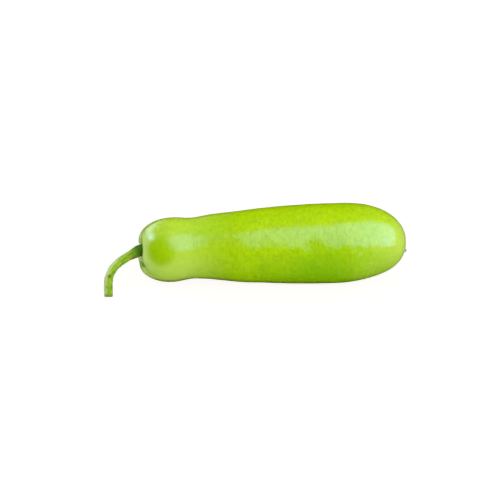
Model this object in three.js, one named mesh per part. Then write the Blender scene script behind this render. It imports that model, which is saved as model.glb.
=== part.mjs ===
// A bottle gourd of the long kind, as picked, lying on its side: the fruit, the cut stalk that it hung by,
// and the dried remnant of its flower. Millimetres, +Z up. The fruit lies along X with its stalk end
// towards -X and rests on the plane Z = 0. The origin is the middle of the footprint, on that plane.
import * as THREE from "three";

// The fruit's half outline. Stations run along X from the stalk end to the blossom end.
const PIT = { station: 9.5, radius: 7.6 }; // the flat floor that the stalk grows from
const CREST = { station: 1.2, radius: 14.8 }; // the rim round the pit
const NECK = { station: 34, radius: 34 }; // the bulge behind the shoulder
const WAIST = { station: 57, radius: 32.1 };
const BELLY = { station: 207, radius: 42 }; // the widest place
const TIP = { station: 280.4, radius: 0 };

// The axis of the fruit at some stations: how far it bows to +Y, and its height over the ground.
const AXIS = [
  { station: 0, bow: 0, height: 32.5 },
  { station: 42, bow: -0.6, height: 34 },
  { station: 72, bow: 2.2, height: 35.4 },
  { station: 88, bow: 0.9, height: 36.4 },
  { station: 108, bow: -0.8, height: 37.6 },
  { station: 130, bow: -0.4, height: 38.8 },
  { station: 207, bow: -0.5, height: 41.4 },
  { station: 248, bow: 0.5, height: 42.8 },
  { station: 281, bow: 1, height: 41.6 },
];

// The grooves between the shoulder's lobes, each with its depth at the rim and further out on the shoulder's
// side. One is a short crease that turns as it leaves the rim. Angles round the fruit are in degrees, from
// -Y (0) over the top (90) to +Y (180).
const GROOVES = [
  { at: 20.5, rim: 0.6, side: 2.1, width: 35 },
  { at: 110, rim: 1.2, side: 1, width: 22 },
  { at: 190, rim: 3.0, side: 2.4, width: 15 },
  { at: 268, rim: 0.5, side: 0.8, width: 15 },
  { at: 341, rim: 7.5, side: 2, width: 8, turn: -16, reach: 12 },
];
const SHOULDER_SIDE = 28; // the radius from which a groove has its side depth
const GROOVE_REACH = 32; // how far the grooves run from the shoulder along the neck
// The shoulder is set back by this much on the side at this angle, and stands out as much on the other.
const CREST_LEAN = { angle: 26, by: 3.9 };

const FLOWER_SCAR = { angle: 330, radius: 10 }; // where on the blossom end the flower's remnant sits
const REMNANT = { radius: 2, height: 1.4 };

// The stalk's path from the pit's floor: out of the pit, round towards -Y and down to the ground.
const STALK_PATH = [
  [0, 0, 0],
  [-6, 0, 0],
  [-12.5, -2.6, -2],
  [-23, -12, -3.4],
  [-32.5, -26, -5.2],
  [-36.5, -33.5, -8.9],
  [-38.3, -38.3, -14.4],
  [-38.7, -45.6, -29.8],
];
const STALK = { foot: 6.4, throat: 6, shaft: 4.25, ridge: 0.35 };
const STALK_RIDGES = 5;
const STALK_TWIST = 50; // degrees that the ridges wind from foot to cut end
const GAP = 0.3; // between the fruit and what sits on it

const FRUIT_SIDES = 72;
const STALK_SIDES = 30;
const STALK_STEPS = 34;

const materials = {
  skin: new THREE.MeshStandardMaterial({ color: 0x9fce1e, roughness: 0.42, metalness: 0 }),
  stalk: new THREE.MeshStandardMaterial({ color: 0x7da01f, roughness: 0.7, metalness: 0 }),
  dried: new THREE.MeshStandardMaterial({ color: 0x6b5a36, roughness: 0.85, metalness: 0 }),
};

const { degToRad, euclideanModulo, lerp, radToDeg, smoothstep } = THREE.MathUtils;

// A curve between two points of the half outline, shaped by the radius and station of its two handles.
function stretch(from, leave, arrive, to) {
  const point = ({ radius, station }) => new THREE.Vector2(radius, station);
  return new THREE.CubicBezierCurve(point(from), point(leave), point(arrive), point(to));
}

const blossomCap = stretch(
  BELLY,
  { station: BELLY.station + 37, radius: BELLY.radius },
  { station: TIP.station, radius: 30.5 },
  TIP,
);

// The fruit's half outline from the pit's floor to the tip: x is the radius and y the station.
function fruitOutline() {
  const middleOfFloor = { station: PIT.station, radius: 0 };
  const stretches = [
    { curve: stretch(middleOfFloor, middleOfFloor, PIT, PIT), steps: 2 },
    {
      curve: stretch(
        PIT,
        { station: PIT.station, radius: 10 },
        { station: CREST.station, radius: 9 },
        CREST,
      ),
      steps: 5,
    },
    {
      curve: stretch(
        CREST,
        { station: CREST.station, radius: 24.5 },
        { station: NECK.station - 19.5, radius: NECK.radius },
        NECK,
      ),
      steps: 10,
    },
    {
      curve: stretch(
        NECK,
        { station: NECK.station + 10, radius: NECK.radius },
        { station: WAIST.station - 10, radius: WAIST.radius },
        WAIST,
      ),
      steps: 5,
    },
    {
      curve: stretch(
        WAIST,
        { station: WAIST.station + 8, radius: WAIST.radius },
        { station: BELLY.station - 89, radius: BELLY.radius },
        BELLY,
      ),
      steps: 14,
    },
    { curve: blossomCap, steps: 13 },
  ];
  const points = stretches.map(({ curve, steps }) => curve.getPoints(steps).slice(1)).flat();
  return [new THREE.Vector2(0, PIT.station), ...points];
}

const axis = new THREE.CubicInterpolant(
  AXIS.map(({ station }) => station),
  AXIS.flatMap(({ bow, height }) => [bow, height]),
  2,
);

// How deep the shoulder's grooves are at a place of the half outline and an angle.
function grooveDepth({ radius, station, angle }) {
  const outwards = smoothstep(radius, CREST.radius, SHOULDER_SIDE);
  let sum = 0;
  for (const { at, rim, side, width, turn = 0, reach = GROOVE_REACH } of GROOVES) {
    const away = euclideanModulo(angle - at - turn * outwards + 180, 360) - 180;
    sum += lerp(rim, side, outwards) * Math.exp(-((away / width) ** 2) - (station / reach) ** 2);
  }
  return sum;
}

// The point of the fruit's skin at a place of its half outline and an angle round it.
function skinPoint({ radius, station, angle }) {
  const turn = degToRad(angle);
  const point = new THREE.Vector3(station, -radius * Math.cos(turn), radius * Math.sin(turn));
  const outOfPit = smoothstep(radius, PIT.radius, CREST.radius);
  const inward = new THREE.Vector3(NECK.station, 0, 0).sub(point).normalize();
  point.addScaledVector(inward, grooveDepth({ radius, station, angle }) * outOfPit);
  const lean = CREST_LEAN.by * outOfPit * Math.exp(-((station / GROOVE_REACH) ** 2));
  point.x += lean * Math.cos(turn - degToRad(CREST_LEAN.angle));
  const [bow, height] = axis.evaluate(station);
  point.y += bow;
  point.z = Math.max(point.z + height, 0); // pressed flat where it rests
  return point;
}

function fruit() {
  // The lathe turns the outline about its own Y, so the station is the vertex's y.
  const geometry = new THREE.LatheGeometry(fruitOutline(), FRUIT_SIDES);
  const position = geometry.getAttribute("position");
  for (let i = 0; i < position.count; i++) {
    const radius = Math.hypot(position.getX(i), position.getZ(i));
    const angle = radToDeg(Math.atan2(position.getZ(i), position.getX(i)));
    const point = skinPoint({ radius, station: position.getY(i), angle });
    position.setXYZ(i, ...point);
  }
  return named("fruit", geometry, materials.skin);
}

// How thick the stalk is, by its share of the way from foot to cut end.
function stalkRadius(share) {
  const throat = lerp(STALK.foot, STALK.throat, smoothstep(share, 0, 0.08));
  return lerp(throat, STALK.shaft, smoothstep(share, 0.08, 0.32));
}

function stalk() {
  const foot = skinPoint({ radius: 0, station: PIT.station - GAP, angle: 0 });
  const path = new THREE.CatmullRomCurve3(
    STALK_PATH.map((step) => new THREE.Vector3(...step).add(foot)),
    false,
    "centripetal",
  );
  const frames = path.computeFrenetFrames(STALK_STEPS, false);
  const geometry = new THREE.CylinderGeometry(1, 1, STALK_STEPS, STALK_SIDES, STALK_STEPS);
  const position = geometry.getAttribute("position");
  for (let i = 0; i < position.count; i++) {
    const step = Math.round(STALK_STEPS / 2 - position.getY(i));
    const share = step / STALK_STEPS;
    const out = Math.hypot(position.getX(i), position.getZ(i));
    const turn = Math.atan2(position.getZ(i), position.getX(i));
    const wind = STALK_RIDGES * (turn - degToRad(STALK_TWIST * share));
    const reach = out * (stalkRadius(share) + STALK.ridge * Math.cos(wind));
    const point = path
      .getPointAt(share)
      .addScaledVector(frames.normals[step], reach * Math.cos(turn))
      .addScaledVector(frames.binormals[step], reach * Math.sin(turn));
    position.setXYZ(i, ...point);
  }
  return named("stem", geometry, materials.stalk);
}

// A low ragged knob whose flat foot follows the skin of the blossom end.
function flowerRemnant() {
  const outline = [
    new THREE.Vector2(0, 0),
    new THREE.Vector2(REMNANT.radius, 0),
    new THREE.Vector2(REMNANT.radius, 0.25 * REMNANT.height),
    new THREE.Vector2(0.62 * REMNANT.radius, 0.7 * REMNANT.height),
    new THREE.Vector2(0.5 * REMNANT.radius, REMNANT.height),
    new THREE.Vector2(0, 0.86 * REMNANT.height),
  ];
  const geometry = new THREE.LatheGeometry(outline, 20);
  const position = geometry.getAttribute("position");
  for (let i = 0; i < position.count; i++) {
    const turn = Math.atan2(position.getZ(i), position.getX(i));
    const ragged = 1 + 0.1 * Math.cos(5 * turn);
    position.setX(i, ragged * position.getX(i));
    position.setZ(i, ragged * position.getZ(i));
  }
  const { angle } = FLOWER_SCAR;
  const atRadius = (wanted) => {
    const share = blossomCap.getPoints(400).findIndex(({ x, y }) => x < wanted && y > BELLY.station) / 400;
    const { x, y } = blossomCap.getPoint(share);
    return { radius: x, station: y };
  };
  const seat = skinPoint({ ...atRadius(FLOWER_SCAR.radius), angle });
  const along = skinPoint({ ...atRadius(FLOWER_SCAR.radius + 1), angle }).sub(seat);
  const across = skinPoint({ ...atRadius(FLOWER_SCAR.radius), angle: angle + 5 }).sub(seat);
  const outward = across.cross(along).normalize();
  geometry.applyQuaternion(new THREE.Quaternion().setFromUnitVectors(new THREE.Vector3(0, 1, 0), outward));
  geometry.translate(...seat.addScaledVector(outward, GAP));
  return named("blossom_remnant", geometry, materials.dried);
}

function named(name, geometry, material) {
  const mesh = new THREE.Mesh(geometry, material);
  mesh.name = name;
  return mesh;
}

const gourd = new THREE.Group();
gourd.name = "bottle_gourd";
gourd.add(fruit(), stalk(), flowerRemnant());

// The frame's origin is under the middle of the whole, on the ground.
const middle = new THREE.Box3().setFromObject(gourd, true).getCenter(new THREE.Vector3());
gourd.position.set(-middle.x, -middle.y, 0);

export default gourd;
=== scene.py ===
"""A bottle gourd lying on its side, in metres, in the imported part's frame.

Finer meshes of the fruit, the stalk and the flower's remnant replace the part's three solids. They
are made in millimetres, from the part's own dimensions.
"""

import math

import bpy
import numpy as np
from mathutils import Matrix, Vector


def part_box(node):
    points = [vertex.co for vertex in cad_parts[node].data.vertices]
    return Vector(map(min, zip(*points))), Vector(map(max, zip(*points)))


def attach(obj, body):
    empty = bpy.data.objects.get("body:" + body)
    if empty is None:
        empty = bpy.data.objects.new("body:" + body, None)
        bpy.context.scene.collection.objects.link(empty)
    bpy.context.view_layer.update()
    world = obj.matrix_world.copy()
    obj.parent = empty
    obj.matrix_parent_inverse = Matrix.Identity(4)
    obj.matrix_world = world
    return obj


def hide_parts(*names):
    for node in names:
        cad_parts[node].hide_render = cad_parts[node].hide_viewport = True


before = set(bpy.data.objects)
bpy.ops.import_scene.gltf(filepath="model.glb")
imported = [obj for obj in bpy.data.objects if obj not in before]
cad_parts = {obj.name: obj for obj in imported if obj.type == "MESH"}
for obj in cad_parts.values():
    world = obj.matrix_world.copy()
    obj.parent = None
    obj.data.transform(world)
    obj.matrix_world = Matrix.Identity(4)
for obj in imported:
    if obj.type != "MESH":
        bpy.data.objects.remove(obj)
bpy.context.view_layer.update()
rng = np.random.default_rng(7)

# ---------------------------------------------------------------- the part's own dimensions
# Stations run along the fruit from its stalk end. Angles round it are in degrees, from -Y (0) over
# the top (90) to +Y (180).

PIT = (9.5, 7.6)  # station, radius
CREST = (1.2, 14.8)
NECK = (34.0, 34.0)
WAIST = (57.0, 32.1)
BELLY = (207.0, 42.0)
TIP = (280.4, 0.0)
AXIS = np.array(
    [  # station, bow to +Y, height
        (0, 0, 32.5),
        (42, -0.6, 34.0),
        (72, 2.2, 35.4),
        (88, 0.9, 36.4),
        (108, -0.8, 37.6),
        (130, -0.4, 38.8),
        (207, -0.5, 41.4),
        (248, 0.5, 42.8),
        (281, 1, 41.6),
    ]
)
GROOVE_REACH = 32  # how far the grooves and the lean run from the shoulder along the neck
CREASE = (341, 7.5, 2.0, 8, -16, 12)
GROOVES = [  # angle, depth at the rim, depth on the shoulder's side, width, turn, reach
    (20.5, 0.6, 2.1, 35, 0, GROOVE_REACH),
    (110, 1.2, 1.0, 22, 0, GROOVE_REACH),
    (190, 3.0, 2.4, 15, 0, GROOVE_REACH),
    (268, 0.5, 0.8, 15, 0, GROOVE_REACH),
    CREASE,
]
SHOULDER_SIDE = 28  # the radius from which a groove has its side depth
CREST_LEAN, LEAN_ANGLE = 3.9, 26  # how far the shoulder is set back on the side at this angle
FLOWER_SCAR = (330, 10)  # angle, radius
GAP = 0.3  # between the fruit and what sits on it
STALK_PATH = [
    (0, 0, 0),
    (-6, 0, 0),
    (-12.5, -2.6, -2),
    (-23, -12, -3.4),
    (-32.5, -26, -5.2),
    (-36.5, -33.5, -8.9),
    (-38.3, -38.3, -14.4),
    (-38.7, -45.6, -29.8),
]
STALK_FOOT, STALK_THROAT, STALK_SHAFT, STALK_RIDGE = 6.4, 6.0, 4.25, 0.35
THROAT_AT, SHAFT_AT = 0.08, 0.32  # shares of the stalk's length
STALK_RIDGES = 5
STALK_TWIST = 50  # degrees that the ridges wind from foot to cut end

# ---------------------------------------------------------------- curves and surfaces


def smoothstep(value, low, high):
    t = np.clip((np.asarray(value, float) - low) / (high - low), 0, 1)
    return t * t * (3 - 2 * t)


def bezier(points, t):
    p = np.array(points, float)
    t = np.asarray(t, float)[:, None]
    return (
        (1 - t) ** 3 * p[0]
        + 3 * (1 - t) ** 2 * t * p[1]
        + 3 * (1 - t) * t * t * p[2]
        + t**3 * p[3]
    )


def hermite(t, start, leave, end, arrive):
    """A cubic from start to end with the slopes leave and arrive, at the shares t of the way."""
    square, cube = t * t, t**3
    return (
        (2 * cube - 3 * square + 1) * start
        + (cube - 2 * square + t) * leave
        + (-2 * cube + 3 * square) * end
        + (cube - square) * arrive
    )


def evenly(line, count):
    """Points evenly spaced by length along a dense line, and the line's length."""
    run = np.concatenate([[0], np.cumsum(np.linalg.norm(np.diff(line, axis=0), axis=1))])
    want = np.linspace(0, run[-1], count)
    return np.stack([np.interp(want, run, column) for column in line.T], 1), run[-1]


STRETCHES = [
    [PIT, (PIT[0], 10), (CREST[0], 9), CREST],
    [CREST, (CREST[0], 24.5), (NECK[0] - 19.5, NECK[1]), NECK],
    [NECK, (NECK[0] + 10, NECK[1]), (WAIST[0] - 10, WAIST[1]), WAIST],
    [WAIST, (WAIST[0] + 8, WAIST[1]), (BELLY[0] - 89, BELLY[1]), BELLY],
    [BELLY, (BELLY[0] + 37, BELLY[1]), (TIP[0], 30.5), TIP],
]


def outline(rows):
    """The fruit's half outline as (station, radius), evenly spaced by length."""
    t = np.linspace(0, 1, 400)
    pit_floor = np.array([(PIT[0], radius) for radius in np.linspace(0, PIT[1], 40)])
    line = np.vstack([pit_floor] + [bezier(stretch, t)[1:] for stretch in STRETCHES])
    return evenly(line, rows)[0]


def axis_at(station):
    """The bow to +Y and the height of the fruit's axis, interpolated as in the part."""
    at, place = AXIS[:, 0], AXIS[:, 1:]
    s = np.clip(np.asarray(station, float), at[0], at[-1])
    i = np.clip(np.searchsorted(at, s, side="right") - 1, 0, len(at) - 2)
    width = (at[i + 1] - at[i])[:, None]
    slope = np.empty_like(place)
    slope[1:-1] = (place[2:] - place[:-2]) / (at[2:] - at[:-2])[:, None]
    slope[0] = (place[1] - place[0]) / (at[1] - at[0])
    slope[-1] = (place[-1] - place[-2]) / (at[-1] - at[-2])
    share = (s - at[i])[:, None] / width
    return hermite(share, place[i], width * slope[i], place[i + 1], width * slope[i + 1])


def groove_depth(station, radius, angle, grooves):
    """How deep the given grooves between the shoulder's lobes are."""
    depth = np.zeros(np.broadcast(station, radius, angle).shape)
    to_side = smoothstep(radius, CREST[1], SHOULDER_SIDE)
    for at, rim, side, width, turn, reach in grooves:
        away = (angle - at - turn * to_side + 180) % 360 - 180
        fade = np.exp(-((away / width) ** 2) - (station / reach) ** 2)
        depth += (rim + (side - rim) * to_side) * fade
    return depth


def skin_points(station, radius, angle):
    """Points of the fruit's skin from its half outline and the angle round it."""
    station, radius, angle = np.broadcast_arrays(
        np.asarray(station, float), np.asarray(radius, float), np.asarray(angle, float)
    )
    turn = np.radians(angle)
    point = np.stack([station, -radius * np.cos(turn), radius * np.sin(turn)], -1)
    out_of_pit = smoothstep(radius, PIT[1], CREST[1])
    inward = np.array([NECK[0], 0, 0]) - point
    inward /= np.maximum(np.linalg.norm(inward, axis=-1, keepdims=True), 1e-9)
    depth = groove_depth(station, radius, angle, GROOVES) * out_of_pit
    point = point + inward * depth[..., None]
    lean = CREST_LEAN * out_of_pit * np.exp(-((station / GROOVE_REACH) ** 2))
    point[..., 0] += lean * np.cos(turn - np.radians(LEAN_ANGLE))
    point[..., 1:] += axis_at(station.ravel()).reshape(station.shape + (2,))
    return point


def skin_point(station, radius, angle):
    return skin_points([station], [radius], [angle])[0]


def waves(points, lengths, count, seed):
    """Smooth seeded unevenness of about unit size: plane waves of the wavelengths given."""
    draw = np.random.default_rng(seed)
    total = np.zeros(len(points))
    for _ in range(count):
        direction = draw.normal(size=3)
        direction /= np.linalg.norm(direction)
        wave = draw.uniform(*lengths)
        total += np.sin(points @ direction * (2 * np.pi / wave) + draw.uniform(0, 2 * np.pi))
    return total / math.sqrt(count / 2)


# ---------------------------------------------------------------- meshes


def link(name, data):
    """A new object of the scene."""
    made = bpy.data.objects.new(name, data)
    bpy.context.scene.collection.objects.link(made)
    return made


def mesh_object(name, points_mm, faces):
    mesh = bpy.data.meshes.new(name)
    mesh.from_pydata((np.asarray(points_mm) * 0.001).tolist(), [], faces)
    mesh.validate()
    mesh.update()
    for polygon in mesh.polygons:
        polygon.use_smooth = True
    return link(name, mesh)


def store(made, name, values):
    """Store a number or a vector for each vertex, for the materials to read."""
    values = np.asarray(values, np.float32)
    kind, key = ("FLOAT", "value") if values.ndim == 1 else ("FLOAT_VECTOR", "vector")
    layer = made.data.attributes.new(name, kind, "POINT")
    layer.data.foreach_set(key, values.ravel())


def closed_faces(rows, sides):
    """Faces of a closed body whose vertices are a middle point, rings and a middle point."""
    after = [(s, (s + 1) % sides) for s in range(sides)]
    end = 1 + (rows - 1) * sides
    faces = [(0, 1 + n, 1 + s) for s, n in after]
    for low in range(1, end, sides):
        high = low + sides
        faces += [(low + s, low + n, high + n, high + s) for s, n in after]
    faces += [(end + s, end + n, end + sides) for s, n in after]
    return faces


def vertex_normals(points, faces):
    """Unit normals at the vertices, from the triangles round them."""

    def facing(a, b, c):
        return np.cross(points[b] - points[a], points[c] - points[a])

    total = np.zeros_like(points)
    corners = np.array([face[:3] for face in faces])
    normal = facing(*corners.T)
    for k in range(3):
        np.add.at(total, corners[:, k], normal)
    a, _, c, d = np.array([face for face in faces if len(face) == 4]).T
    np.add.at(total, d, facing(a, c, d))
    return total / np.maximum(np.linalg.norm(total, axis=1, keepdims=True), 1e-9)


# ---------------------------------------------------------------- the fruit

ROWS, SIDES = 330, 288
UNEVENNESS = [  # height, shortest and longest wave, number of waves, seed
    (0.10, (50, 110), 14, 11),
    (0.045, (14, 30), 26, 12),
]
HOLLOWS = [  # place on the skin, depth, reach
    ((55, -34, 57), 1.5, 10),
    ((84, -34, 60), 0.35, 7),
    ((24, -32, 56), 0.35, 7),
]
MIDDLE = (0.3, 38.0)  # about where the fruit's axis runs, in y and z
EVEN_UP_TO, UNEVEN_FROM = 4, 14  # distances from the axis
PIT_FADE = (PIT[1], 12)  # the radii between which the pit's painted shade ends
DULL_FADE = (9.5, 14.5)  # and those between which its dull skin ends

rings = outline(ROWS + 2)[1:-1]
stations, radii = rings[:, :1], rings[:, 1:]
angles = np.arange(SIDES) * 360.0 / SIDES
pit_middle = skin_point(PIT[0], 0.0, 0.0)
tip_point = skin_point(TIP[0], 0.0, 0.0)
skin_rings = skin_points(stations, radii, angles[None, :])
points = np.vstack([pit_middle[None], skin_rings.reshape(-1, 3), tip_point[None]])

# The shift that puts the stations into the part's frame, from the solid's own box.
low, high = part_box("fruit")
middle_y = (points[:, 1].min() + points[:, 1].max()) / 2
shift = np.array([high.x * 1000 - TIP[0], (low.y + high.y) * 500 - middle_y, 0.0])

# These faces look inwards, so the mesh gets them turned round.
inward_faces = closed_faces(ROWS, SIDES)
normal = -vertex_normals(points, inward_faces)

# The pit's floor and the tip, near the axis, stay even.
off_axis = np.hypot(points[:, 1] - MIDDLE[0], points[:, 2] - MIDDLE[1])
off_axis = smoothstep(off_axis, EVEN_UP_TO, UNEVEN_FROM)
uneven = sum(height * waves(points, *kind) for height, *kind in UNEVENNESS)
for place, depth, reach in HOLLOWS:
    away = np.linalg.norm(points + shift - place, axis=1)
    uneven = uneven - depth * np.exp(-((away / reach) ** 2))
points = points + normal * (uneven * off_axis)[:, None]
points[:, 2] = np.maximum(points[:, 2], 0.0)  # pressed flat where it rests
points += shift
fruit = mesh_object("fruit_skin", points, [face[::-1] for face in inward_faces])


def for_vertices(first, ring_values, last):
    """A number for each vertex of the fruit, from its two middle points' and its rings'."""
    return np.concatenate([[first], np.repeat(ring_values, SIDES), [last]])


def pit_side(near, far):
    """1 in the pit, falling to 0 between two radii, and 0 on the fruit's outside."""
    before_crest = np.arange(ROWS) <= np.argmin(rings[:, 0])
    return for_vertices(1, before_crest * (1 - smoothstep(rings[:, 1], near, far)), 0)


crease = groove_depth(stations, radii, angles[None, :], [CREASE]) / CREASE[1]
crease = np.concatenate([[0], crease.ravel(), [0]])
store(fruit, "pit", pit_side(*PIT_FADE))
store(fruit, "crease", crease)
store(fruit, "station", for_vertices(PIT[0], rings[:, 0], TIP[0]))
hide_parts("fruit")
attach(fruit, "root")

# ---------------------------------------------------------------- the stalk

STEPS, ROUND = 260, 96
FURROWS = [  # depth, number round the stalk, phase, how far they wander and how often
    (0.09, 17, 0.0, 2.0, 9),
    (0.05, 31, 1.3, 1.5, 14),
]
STALK_UNEVENNESS = (0.10, (6, 16), 20, 21)  # as the fruit's
FIBRES_ROUND, FIBRES_ALONG = 3.2, 0.12  # how close the stalk's fibres lie round it and along it
CUT_INSETS = (0.985, 0.93, 0.8, 0.62, 0.42, 0.2)  # the cut face's rings, as shares of its radius
CUT_DISH, CUT_MIDDLE = 0.35, 0.3  # how deep the cut face is dished
CUT_RAGGED = (0.14, (3, 8), 12, 31)  # as the fruit's unevenness, but waves in thirds of a mm
SCAB_SHARE = 0.25  # how far along the stalk the scab is
SCAB_AWAY = np.array([0.0, 0.75, 0.66])  # and the direction that it faces away from


def catmull(path, count):
    """The part's centripetal curve through the path's points, evenly spaced by length."""
    p = np.array(path, float)
    p = np.vstack([2 * p[0] - p[1], p, 2 * p[-1] - p[-2]])
    share = np.linspace(0, 1, 60)[:, None]
    line = []
    for i in range(1, len(p) - 2):
        before, here, after, beyond = p[i - 1 : i + 3]
        steps = (here - before, after - here, beyond - after)
        d0, d1, d2 = [max(np.linalg.norm(step) ** 0.5, 1e-6) for step in steps]
        leave = (here - before) / d0 - (after - before) / (d0 + d1) + (after - here) / d1
        arrive = (after - here) / d1 - (beyond - here) / (d1 + d2) + (beyond - after) / d2
        line.append(hermite(share, here, leave * d1, after, arrive * d1))
    return evenly(np.vstack(line), count)


def frames_along(path):
    """Tangents and two directions across, carried along without twist."""
    tangent = np.gradient(path, axis=0)
    tangent /= np.linalg.norm(tangent, axis=1, keepdims=True)
    across = np.cross(tangent[0], (0, 0, 1))
    across /= np.linalg.norm(across)
    first = []
    for t in tangent:
        across = across - t * (across @ t)
        across /= np.linalg.norm(across)
        first.append(across.copy())
    first = np.array(first)
    return tangent, first, np.cross(tangent, first)


path, stalk_length = catmull(STALK_PATH, STEPS + 1)
path = path + (pit_middle + shift + np.array([-GAP, 0, 0]))
tangent, across, other = frames_along(path)
share = np.linspace(0, 1, STEPS + 1)
throat = STALK_FOOT + (STALK_THROAT - STALK_FOOT) * smoothstep(share, 0, THROAT_AT)
stalk_radius = throat + (STALK_SHAFT - throat) * smoothstep(share, THROAT_AT, SHAFT_AT)
turn = np.arange(ROUND) * 2 * np.pi / ROUND
wind = turn[None, :] - np.radians(STALK_TWIST) * share[:, None]
ridge = STALK_RIDGE * np.cos(STALK_RIDGES * wind)
furrows = sum(
    depth * np.cos(number * wind + phase + wander * np.sin(often * share)[:, None])
    for depth, number, phase, wander, often in FURROWS
)
reach = stalk_radius[:, None] + ridge + furrows
ring = (
    path[:, None]
    + across[:, None] * (reach * np.cos(turn))[..., None]
    + other[:, None] * (reach * np.sin(turn))[..., None]
)
flat_ring = ring.reshape(-1, 3)
out = flat_ring - np.repeat(path, ROUND, axis=0)
out /= np.linalg.norm(out, axis=1, keepdims=True)
height, *kind = STALK_UNEVENNESS
flat_ring = flat_ring + out * (height * waves(flat_ring, *kind))[:, None]
ring = flat_ring.reshape(STEPS + 1, ROUND, 3)

# The cut end: rings inward over a slightly ragged, slightly dished face.
height, *kind = CUT_RAGGED
cut_rings = []
for inset in CUT_INSETS:
    face_ring = path[-1] + (ring[-1] - path[-1]) * inset
    ragged = height * smoothstep(1 - inset, 0, 0.1) * waves(face_ring * 3.0, *kind)
    sink = -CUT_DISH * (1 - inset) + ragged
    cut_rings.append(face_ring + tangent[-1] * sink[:, None])
cut_middle = path[-1] - CUT_MIDDLE * tangent[-1]
stalk_points = np.vstack([path[:1], flat_ring] + cut_rings + [cut_middle[None]])
stalk = mesh_object("stalk", stalk_points, closed_faces(STEPS + 1 + len(CUT_INSETS), ROUND))
for polygon in stalk.data.polygons:
    first = min(polygon.vertices)
    if first == 0 or (first - 1) // ROUND >= STEPS:  # the foot and the cut face
        polygon.use_smooth = False

length_at = share * stalk_length
on_cut = np.full(len(CUT_INSETS) * ROUND + 1, stalk_length)
store(stalk, "along", np.concatenate([[0], np.repeat(length_at, ROUND), on_cut]))
fibre = np.broadcast_arrays(
    np.cos(wind) * FIBRES_ROUND, np.sin(wind) * FIBRES_ROUND, length_at[:, None] * FIBRES_ALONG
)
fibre = np.stack(fibre, -1).reshape(-1, 3)
cut_fibre = np.tile(fibre[-ROUND:], (len(CUT_INSETS), 1)) * np.repeat(CUT_INSETS, ROUND)[:, None]
store(stalk, "fibre", np.vstack([np.zeros((1, 3)), fibre, cut_fibre, np.zeros((1, 3))]))
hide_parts("stem")
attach(stalk, "root")
scab_ring = ring[int(SCAB_SHARE * STEPS)]
scab_place = scab_ring[np.argmin(scab_ring @ SCAB_AWAY)] / 1000

# Short soft hairs on the stalk, each a closed three-sided spike with its root sunk in.
HAIRS = 1700
HAIRY_SHARES = (0.16, 0.995)  # the stretch of the stalk that has them
HAIR_LENGTHS = (0.7, 1.7)
HAIR_ROOT, HAIR_RADIUS = 0.25, 0.05
HAIR_TOUSLE, HAIR_LEAN = 0.55, 0.25  # how far they point any way, and towards the cut end
SPIKE = ((0, 1, 2), (0, 3, 1), (1, 3, 2), (2, 3, 0))
draw = np.random.default_rng(5)
hair_points, hair_faces = [], []
for _ in range(HAIRS):
    row = int(STEPS * draw.uniform(*HAIRY_SHARES))
    column = int(draw.integers(ROUND))
    root = ring[row, column]
    away = root - path[row]
    away /= np.linalg.norm(away)
    lean = away + HAIR_TOUSLE * draw.normal(size=3) + HAIR_LEAN * tangent[row]
    lean /= np.linalg.norm(lean)
    length = draw.uniform(*HAIR_LENGTHS)
    side = np.cross(lean, tangent[row])
    side /= np.linalg.norm(side)
    front = np.cross(lean, side)
    base = len(hair_points)
    for t in 2 * np.pi * np.arange(3) / 3:
        round_it = np.cos(t) * side + np.sin(t) * front
        hair_points.append(root - HAIR_ROOT * away + HAIR_RADIUS * round_it)
    hair_points.append(root + length * lean)
    hair_faces += [tuple(base + corner for corner in face) for face in SPIKE]
hairs = mesh_object("stalk_hairs", np.array(hair_points), hair_faces)
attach(hairs, "root")

# ---------------------------------------------------------------- the flower's remnant

REMNANT_SIDES = 60
REMNANT = [  # radius, height over the skin
    (2.0, GAP),
    (2.0, 0.7),
    (1.5, 1.1),
    (1.25, 1.35),
    (1.0, 1.7),
    (0.7, 1.6),
    (0.3, 1.4),
]
REMNANT_TOP = 1.35
REMNANT_LOBES, REMNANT_FOLDS = (0.10, 5), (0.05, 13)  # depth as a share of the radius, number
CRUMPLED, TATTERED = 0.03, 0.10  # how ragged the rings' radius and height are
TATTERED_RINGS = (3, 4, 5)


def cap_at(radius):
    """The station and radius on the blossom end's half outline that come nearest to a radius."""
    curve = bezier(STRETCHES[-1], np.linspace(0, 1, 4000))
    return curve[np.argmin(np.abs(curve[:, 1] - radius))]


scar_angle, scar_radius = FLOWER_SCAR
seat = skin_point(*cap_at(scar_radius), scar_angle)
along = skin_point(*cap_at(scar_radius + 1), scar_angle) - seat
outward = np.cross(skin_point(*cap_at(scar_radius), scar_angle + 5) - seat, along)
outward /= np.linalg.norm(outward)
along /= np.linalg.norm(along)
aside = np.cross(outward, along)
seat = seat + shift

turn = np.arange(REMNANT_SIDES) * 2 * np.pi / REMNANT_SIDES
remnant_rings = []
for k, (radius, rise) in enumerate(REMNANT):
    lobes = REMNANT_LOBES[0] * np.cos(REMNANT_LOBES[1] * turn)
    folds = REMNANT_FOLDS[0] * np.cos(REMNANT_FOLDS[1] * turn + k)
    ragged = 1 + lobes + folds + CRUMPLED * rng.normal(size=REMNANT_SIDES)
    up = np.full(REMNANT_SIDES, rise)
    if k in TATTERED_RINGS:
        up = up + TATTERED * rng.normal(size=REMNANT_SIDES)
    remnant_rings.append(
        seat
        + np.outer(np.cos(turn) * radius * ragged, along)
        + np.outer(np.sin(turn) * radius * ragged, aside)
        + np.outer(up, outward)
    )
remnant_points = np.vstack([seat + GAP * outward] + remnant_rings + [seat + REMNANT_TOP * outward])
remnant = mesh_object("flower_remnant", remnant_points, closed_faces(len(REMNANT), REMNANT_SIDES))
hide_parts("blossom_remnant")
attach(remnant, "root")

# ---------------------------------------------------------------- materials


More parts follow.
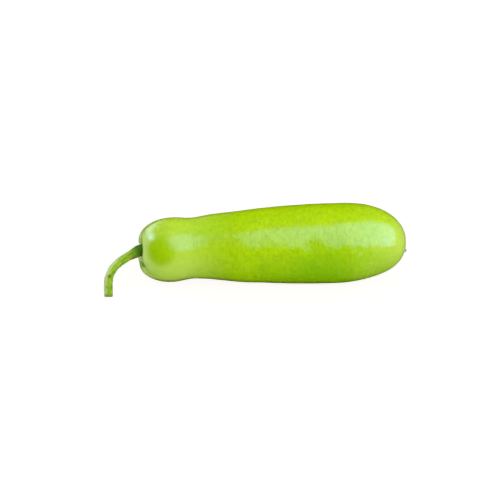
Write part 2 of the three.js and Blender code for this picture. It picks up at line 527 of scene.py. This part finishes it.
def linear(rgb):
    """An sRGB colour in 0 to 255 as linear RGBA."""

    def one(c):
        c = c / 255
        return c / 12.92 if c <= 0.04045 else ((c + 0.055) / 1.055) ** 2.4

    return (*map(one, rgb), 1.0)


def ramp(tree, value, low, high, to_low, to_high):
    """A smooth step: to_low up to low, and to_high from high on."""
    node = tree.nodes.new("ShaderNodeMapRange")
    node.interpolation_type = "SMOOTHSTEP"
    tree.links.new(value, node.inputs["Value"])
    node.inputs["From Min"].default_value = low
    node.inputs["From Max"].default_value = high
    node.inputs["To Min"].default_value = to_low
    node.inputs["To Max"].default_value = to_high
    return node.outputs["Result"]


class Nodes:
    """A new material, and small helpers that add nodes to it and wire them."""

    def __init__(self, name, base=None):
        self.material = bpy.data.materials.new(name)
        self.material.use_nodes = True
        self.tree = self.material.node_tree
        self.colour = linear(base) if base else None

    def add(self, kind, inputs, **settings):
        """Add a node, with its settings, and feed its inputs."""
        node = self.tree.nodes.new("ShaderNode" + kind)
        for key, value in settings.items():
            setattr(node, key, value)
        for key, value in inputs.items():
            self.feed(node.inputs[key], value)
        return node

    def feed(self, socket, value):
        if isinstance(value, bpy.types.NodeSocket):
            self.tree.links.new(value, socket)
        else:
            socket.default_value = value

    def surface(self, **inputs):
        """Feed the shader's own inputs."""
        shader = self.tree.nodes["Principled BSDF"]
        for key, value in inputs.items():
            self.feed(shader.inputs[key.replace("_", " ")], value)

    def place(self):
        """Where a point of the object is, in metres."""
        return self.add("TexCoord", {}).outputs["Object"]

    def height(self):
        return self.add("SeparateXYZ", {0: self.place()}).outputs["Z"]

    def stored(self, name, output="Fac"):
        """What the mesh holds for each vertex under a name."""
        return self.add("Attribute", {}, attribute_name=name).outputs[output]

    def noise_on(self, where, scale, detail, rough):
        inputs = {"Vector": where, "Scale": scale, "Detail": detail, "Roughness": rough}
        return self.add("TexNoise", inputs).outputs["Fac"]

    def noise(self, scale, detail, rough, stretch=(1, 1, 1)):
        mapping = self.add("Mapping", {"Vector": self.place(), "Scale": stretch})
        return self.noise_on(mapping.outputs["Vector"], scale, detail, rough)

    def spots(self, scale, core, edge):
        """Small round spots: 1 at their middle, 0 away from them."""
        node = self.add("TexVoronoi", {"Vector": self.place(), "Scale": scale})
        return self.remap(node.outputs["Distance"], core, edge, 1.0, 0.0)

    def remap(self, value, low, high, to_low=0.0, to_high=1.0):
        return ramp(self.tree, value, low, high, to_low, to_high)

    def math(self, operation, a, b):
        return self.add("Math", {0: a, 1: b}, operation=operation).outputs[0]

    def times(self, a, b):
        return self.math("MULTIPLY", a, b)

    def tint(self, share, rgb):
        """Mix an sRGB colour over the colour so far."""
        inputs = {0: share, 6: self.colour, 7: linear(rgb)}
        self.colour = self.add("Mix", inputs, data_type="RGBA").outputs[2]

    def bump(self, height, strength, distance, onto=None):
        inputs = {"Strength": strength, "Distance": distance, "Height": height}
        if onto is not None:
            inputs["Normal"] = onto
        return self.add("Bump", inputs).outputs["Normal"]

    def near(self, place, reach, soft):
        """1 at a place, in metres, falling to 0 between reach and reach + soft."""
        node = self.add("VectorMath", {0: self.place(), 1: place}, operation="DISTANCE")
        return self.remap(node.outputs["Value"], reach, reach + soft, 1.0, 0.0)

    def facing(self, direction, low, high):
        """0 to 1 as the surface turns towards a direction."""
        normal = self.add("NewGeometry", {}).outputs["Normal"]
        node = self.add("VectorMath", {0: normal, 1: direction}, operation="DOT_PRODUCT")
        return self.remap(node.outputs["Value"], low, high)


# Places that the photo shows, in metres.
SHADE_PATCH = (-0.0988, -0.0228, 0.0470)  # painted shade: a patch of deeper green on the shoulder's side
CREASE_SHADOW = (-0.1183, -0.0105, 0.0240)  # a painted shadow on the lobe beside the crease, under the stalk
PALE_FLECKS = (0.112, -0.035, 0.040)  # on the near side, towards the blossom end
GREENER = (0.066, -0.036, 0.026)  # low on the belly
BRUISE = (-0.1515, -0.0358, 0.0236)  # on the stalk's bend

SKIN_SPOTS = [  # noise scale, detail, roughness and stretch, limits, most, colour
    (30, 4, 0.55, (0.7, 1, 1), (0.36, 0.66), 0.60, (156, 195, 0)),  # broad mottling
    (22, 3, 0.50, (0.7, 1, 1), (0.46, 0.66), 0.55, (146, 197, 0)),
    (230, 2, 0.50, (1.0, 0.7, 0.7), (0.48, 0.68), 0.45, (186, 218, 18)),  # pale freckles
    (300, 2, 0.50, (1.2, 0.7, 0.7), (0.48, 0.68), 0.45, (138, 178, 0)),  # dark freckles
]
SKIN_BUMPS = [  # noise scale, detail, roughness and stretch, strength, height in metres
    (85, 3, 0.5, (1, 1, 1), 0.55, 0.0010),  # shallow dents
    (420, 2, 0.5, (1.0, 0.14, 0.14), 0.40, 0.0005),  # faint rings round the fruit
    (240, 2, 0.5, (1, 1, 1), 0.35, 0.0005),
    (950, 2, 0.6, (1, 1, 1), 0.18, 0.0003),  # fine grain
]
DULL_FROM = 0.3  # how deep in the pit or the crease the skin has no gloss
STALK_LIT_OUTSIDE = (-0.93, -0.1, 0.35)  # the direction that the outside of the stalk's bend faces, which gets painted light

# Lime green with soft mottling. The paler neck and shoulder are painted reflection and the pale
# rim of the pit a painted highlight; the blossom end is paler in its own tone, with painted
# reflection low down. The pit, the crease, a patch on the shoulder and where it rests get painted
# shade.
skin = Nodes("gourd_skin", (170, 209, 0))
z = skin.height()
station, pit, in_crease = [skin.stored(name) for name in ("station", "pit", "crease")]
for *noise, limits, most, colour in SKIN_SPOTS:
    skin.tint(skin.remap(skin.noise(*noise), *limits, 0.0, most), colour)
shade_patch = skin.near(SHADE_PATCH, 0.007, 0.015)
out_of_shade_patch = skin.remap(shade_patch, 0.0, 1.0, 0.9, 0.0)
# painted reflection: the neck paler, most of all low down, except in the shaded patch
low_down = skin.remap(z, 0.020, 0.056, 1.0, 0.3)
neck = skin.remap(station, 40, 105, 1.0, 0.0)
skin.tint(skin.times(neck, skin.times(low_down, out_of_shade_patch)), (194, 222, 98))
# the blossom end is paler in its own tone, and more so low down, where the paleness is painted
# reflection of the floor
blossom_end = skin.remap(station, 212, 278, 0.0, 0.7)
skin.tint(skin.times(blossom_end, skin.remap(z, 0.040, 0.072, 1.0, 0.25)), (180, 208, 84))
blossom_tip = skin.remap(station, 258, 276, 0.0, 0.4)
skin.tint(blossom_tip, (204, 226, 108))
# painted reflection: the shoulder paler, except in the shaded patch
shoulder = skin.remap(station, 2, 22, 1.0, 0.0)
skin.tint(skin.times(shoulder, out_of_shade_patch), (198, 228, 128))
# painted highlight: the pit's rim paler
rim = skin.remap(station, 1.5, 4.5, 0.6, 0.0)
skin.tint(rim, (222, 242, 150))
# painted shade: the patch on the shoulder's side a deeper green
skin.tint(skin.times(shade_patch, 0.6), (158, 200, 0))
flecks = skin.remap(skin.noise(150, 4, 0.6), 0.46, 0.68, 0.0, 0.55)
skin.tint(skin.times(skin.near(PALE_FLECKS, 0.008, 0.030), flecks), (184, 214, 84))
skin.tint(skin.times(skin.near(GREENER, 0.010, 0.042), 0.42), (112, 176, 0))
skin.tint(skin.remap(z, 0.0040, 0.0150, 0.75, 0.0), (134, 116, 26))  # painted shade, darker and brownish, where it rests
# painted shade: darker green down in the crease under the stalk
skin.tint(skin.remap(in_crease, 0.15, 0.6, 0.0, 0.85), (104, 150, 8))
# painted shadow: a dark green spot beside the crease
skin.tint(skin.times(skin.near(CREASE_SHADOW, 0.0015, 0.0045), 0.9), (116, 160, 24))
# painted shade: the pit's walls darker green
skin.tint(pit, (120, 164, 34))
skin.tint(skin.times(skin.spots(560, 0.10, 0.30), 0.10), (208, 226, 130))

# Dents, rings and grain break up the reflections.
bumps = None
for *noise, strength, distance in SKIN_BUMPS:
    bumps = skin.bump(skin.noise(*noise), strength, distance, bumps)
dull = skin.remap(skin.noise(260, 3, 0.6, (1.4, 0.5, 0.5)), 0.42, 0.68, 0.10, 0.20)
skin.surface(
    Base_Color=skin.colour,
    Normal=bumps,
    Roughness=skin.math("MAXIMUM", dull, skin.times(pit, 0.7)),
    IOR=1.5,
    Specular_IOR_Level=1.0,
    Specular_Tint=(0.32, 0.50, 1.0, 1.0),
    Subsurface_Weight=0.06,
    Subsurface_Radius=(0.6, 1.0, 0.1),
    Subsurface_Scale=0.004,
)
fruit.data.materials.append(skin.material)

# The same skin without its gloss, in the pit and the crease.
dull_skin = skin.material.copy()
dull_skin.name = "gourd_pit"
dull_skin.node_tree.nodes["Principled BSDF"].inputs["Specular IOR Level"].default_value = 0.08
fruit.data.materials.append(dull_skin)
deep = np.maximum(pit_side(*DULL_FADE), crease)
for polygon in fruit.data.polygons:
    polygon.material_index = int(deep[list(polygon.vertices)].min() > DULL_FROM)

# The stalk: fibres along it, paler on one side with painted light, darker where it leaves the pit
# with painted shade, brownish at the cut.
stem = Nodes("gourd_stalk", (96, 144, 0))
along = stem.stored("along")
fibres = stem.noise_on(stem.stored("fibre", "Vector"), 1.0, 4, 0.65)
stem.tint(stem.remap(fibres, 0.36, 0.62), (148, 184, 20))
stem.tint(stem.remap(stem.noise(120, 3, 0.6), 0.46, 0.66, 0.0, 0.35), (176, 200, 84))
# painted light: the stalk paler on the side that faces left and up
outer = stem.facing(STALK_LIT_OUTSIDE, 0.25, 0.75)
stem.tint(stem.times(outer, stem.remap(along, 14, 30, 0.0, 0.75)), (204, 214, 160))
stem.tint(stem.remap(stem.noise(210, 4, 0.7), 0.58, 0.70, 0.0, 0.7), (104, 104, 22))
# painted shade: darker where the stalk leaves the pit
stem.tint(stem.remap(along, 9, 22, 0.95, 0.0), (58, 108, 0))
stem.tint(stem.times(stem.near(BRUISE, 0.0008, 0.0022), 0.8), (78, 100, 12))
stem.tint(stem.times(stem.near(scab_place, 0.0016, 0.0040), 0.9), (118, 116, 24))
near_cut = stem.remap(along, stalk_length - 4.5, stalk_length - 0.3, 0.0, 0.75)
stem.tint(near_cut, (104, 110, 40))
bumps = stem.bump(fibres, 0.5, 0.0006)
stem.surface(
    Base_Color=stem.colour,
    Normal=stem.bump(stem.noise(1300, 3, 0.6), 0.5, 0.0003, bumps),
    Roughness=0.7,
    Specular_IOR_Level=0.15,
)
stalk.data.materials.append(stem.material)

hair = Nodes("stalk_hair", (196, 208, 160))
hair.tint(hair.remap(hair.noise(300, 2, 0.5), 0.4, 0.6), (222, 228, 200))
hair.surface(Base_Color=hair.colour, Roughness=0.6)
hairs.data.materials.append(hair.material)

dried = Nodes("dried_flower", (120, 128, 84))
dried.tint(dried.remap(dried.noise(900, 4, 0.7), 0.35, 0.65), (188, 192, 150))
dried.surface(
    Base_Color=dried.colour,
    Normal=dried.bump(dried.noise(1800, 3, 0.7), 0.7, 0.0004),
    Roughness=0.9,
)
remnant.data.materials.append(dried.material)

# ---------------------------------------------------------------- floor and light


def ground(name, colour, glow, rays):
    """A plane under the fruit that only the named kinds of ray see."""
    mesh = bpy.data.meshes.new(name)
    mesh.from_pydata([(-4, -4, 0), (4, -4, 0), (4, 4, 0), (-4, 4, 0)], [], [(0, 1, 2, 3)])
    made = link(name, mesh)
    nodes = Nodes(name)
    nodes.surface(
        Base_Color=colour,
        Roughness=1.0,
        Specular_IOR_Level=0.0,
        Emission_Color=glow,
        Emission_Strength=1.0,
    )
    mesh.materials.append(nodes.material)
    for ray in ("camera", "diffuse", "glossy", "transmission", "volume_scatter", "shadow"):
        setattr(made, "visible_" + ray, ray in rays)


# The camera sees one white floor, and the skin is lit by another, greener one.
ground("floor", (0.50, 0.80, 1.0, 1), (0.95, 0.90, 0.86, 1), ("camera",))
ground("bounce", (0.71, 0.78, 0.50, 1), (0, 0, 0, 1), ("diffuse",))


def towards(place, at):
    """The turn with which a light at a place shines at a point."""
    return (Vector(at) - Vector(place)).to_track_quat("-Z", "Y").to_euler()


def softbox(name, place, turn, size, brightness, ramps=(), colour=(1, 1, 1), shows_in="both"):
    """An area light. Each ramp shades it along X or Y, from one share of its size to another."""
    light = bpy.data.lights.new(name, "AREA")
    light.shape = "RECTANGLE"
    light.size, light.size_y = size
    light.energy = brightness * math.pi * size[0] * size[1]
    light.color = colour
    made = link(name, light)
    made.location = place
    made.rotation_euler = turn
    made.visible_diffuse = shows_in != "gloss"
    made.visible_glossy = shows_in != "skin"
    if not ramps:
        return
    light.use_nodes = True
    tree = light.node_tree
    geometry = tree.nodes.new("ShaderNodeNewGeometry")
    shares = tree.nodes.new("ShaderNodeSeparateXYZ")
    tree.links.new(geometry.outputs["Parametric"], shares.inputs[0])
    level = None
    for along, *limits in ramps:
        shade = ramp(tree, shares.outputs[along], *limits)
        if level is None:
            level = shade
            continue
        product = tree.nodes.new("ShaderNodeMath")
        product.operation = "MULTIPLY"
        tree.links.new(level, product.inputs[0])
        tree.links.new(shade, product.inputs[1])
        level = product.outputs[0]
    tree.links.new(level, tree.nodes["Emission"].inputs["Strength"])


KEY_TURN = Matrix(
    ((0.864, -0.320, 0.389), (0.430, 0.870, -0.239), (-0.262, 0.374, 0.890))
).to_euler()
KEY_FADE = (  # axis, the two shares of the light's size, the brightness at each
    ("X", 0.0, 0.24, 0.0, 1.0),
    ("X", 0.70, 1.0, 1.0, 0.0),
    ("X", 0.0, 0.8, 0.8, 3.4),
    ("Y", 0.0, 0.2, 0.0, 1.0),
    ("Y", 0.8, 1.0, 1.0, 0.0),
)
SOFT = (
    ("X", 0.0, 0.46, 0.0, 1.0),
    ("X", 0.54, 1.0, 1.0, 0.0),
    ("Y", 0.0, 0.46, 0.0, 1.0),
    ("Y", 0.54, 1.0, 1.0, 0.0),
)
KEY_PLACE, KEY_COLOUR = (0.708, -0.652, 0.733), (0.7, 0.76, 0.95)
EVEN_PLACE = (0.58, -0.70, 0.83)
FILL_PLACE, BLOSSOM_END = (1.25, -0.45, 0.24), (0.15, 0, 0.04)
SPOT_PLACE, BRIGHT_SPOT = (-1.077, 0.051, 0.570), (-0.1085, -0.0127, 0.0557)
GLOW_PLACE, RIM_PLACE, SHOULDER = (-1.15, 0.68, 0.60), (-0.75, 1.25, 0.42), (-0.11, 0, 0.05)
fill_turn = towards(FILL_PLACE, BLOSSOM_END)
spot_turn = towards(SPOT_PLACE, BRIGHT_SPOT)
glow_turn = towards(GLOW_PLACE, SHOULDER)
rim_turn = towards(RIM_PLACE, SHOULDER)
softbox("key", KEY_PLACE, KEY_TURN, (3.45, 1.87), 1.0, KEY_FADE, KEY_COLOUR, "gloss")
softbox("key_even", EVEN_PLACE, KEY_TURN, (3.05, 1.81), 1.26, shows_in="skin")
softbox("fill_right", FILL_PLACE, fill_turn, (0.8, 0.46), 0.9)
softbox("spot_left", SPOT_PLACE, spot_turn, (0.7, 0.7), 5.2, SOFT, shows_in="gloss")
softbox("glow_left", GLOW_PLACE, glow_turn, (2.0, 1.2), 2.1, SOFT)
softbox("rim_back", RIM_PLACE, rim_turn, (1.2, 0.7), 1.5, SOFT, shows_in="gloss")

# The studio round it: bright above, dim below, so the underside stays dark.
world = bpy.data.worlds.new("studio")
bpy.context.scene.world = world
world.use_nodes = True
tree = world.node_tree
where = tree.nodes.new("ShaderNodeTexCoord")
parts = tree.nodes.new("ShaderNodeSeparateXYZ")
tree.links.new(where.outputs["Generated"], parts.inputs[0])
level = ramp(tree, parts.outputs["Z"], -0.1, 1.0, 0.05, 0.9)
tree.links.new(level, tree.nodes["Background"].inputs["Strength"])
tree.nodes["Background"].inputs["Color"].default_value = (1, 1, 1, 1)
world.cycles_visibility.glossy = False

# ---------------------------------------------------------------- the camera

AZIMUTH, ELEVATION, DISTANCE = 0.0, 29.0, 1.5
TARGET = (0, 0, 0.035)
FRAME = 480  # the photo's pixels along a side
LOOK = (256.4, 250.0)  # the pixel that the target lands on
PIXELS_PER_MM = 0.953  # at the target
SENSOR = 36  # millimetres across

camera_data = bpy.data.cameras.new("camera")
camera = link("camera", camera_data)
a, e = math.radians(AZIMUTH), math.radians(ELEVATION)
back = Vector((math.sin(a) * math.cos(e), -math.cos(a) * math.cos(e), math.sin(e)))
camera.location = Vector(TARGET) + back * DISTANCE
camera.rotation_euler = (-back).to_track_quat("-Z", "Y").to_euler()
camera_data.sensor_width = SENSOR
camera_data.lens = PIXELS_PER_MM * 1000 * DISTANCE * SENSOR / FRAME
camera_data.shift_x = -(LOOK[0] - FRAME / 2) / FRAME
camera_data.shift_y = (LOOK[1] - FRAME / 2) / FRAME
camera_data.clip_start = 0.05
camera_data.clip_end = 20
scene = bpy.context.scene
scene.camera = camera
scene.view_settings.view_transform = "Standard"
scene.view_settings.look = "None"

bpy.context.view_layer.update()
